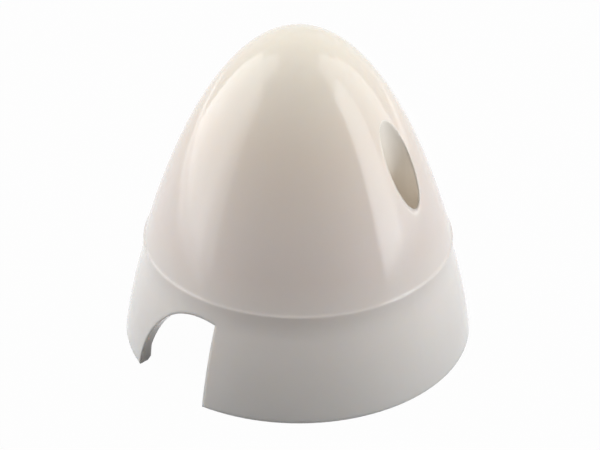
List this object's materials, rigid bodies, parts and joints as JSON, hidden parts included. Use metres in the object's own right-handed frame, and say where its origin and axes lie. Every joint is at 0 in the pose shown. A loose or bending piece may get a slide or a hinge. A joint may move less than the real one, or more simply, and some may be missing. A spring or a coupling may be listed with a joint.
{
  "type": "propeller spinner",
  "caption": "Hollow ogive spinner shell with a flared skirt, blade notches at the rim and deep screw pockets in the nose, for a model aircraft's propeller.",
  "frame": {"origin": "centre of the rim plane, on the spin axis", "axes": "+Z along the spin axis towards the nose tip, blades along Y, first screw pocket near +X"},
  "size_m": [0.057, 0.0556, 0.0535],
  "materials": {
    "shell": "gloss"
  },
  "bodies": {
    "root": {"spinner_cone": "shell"}
  },
  "joints": []
}
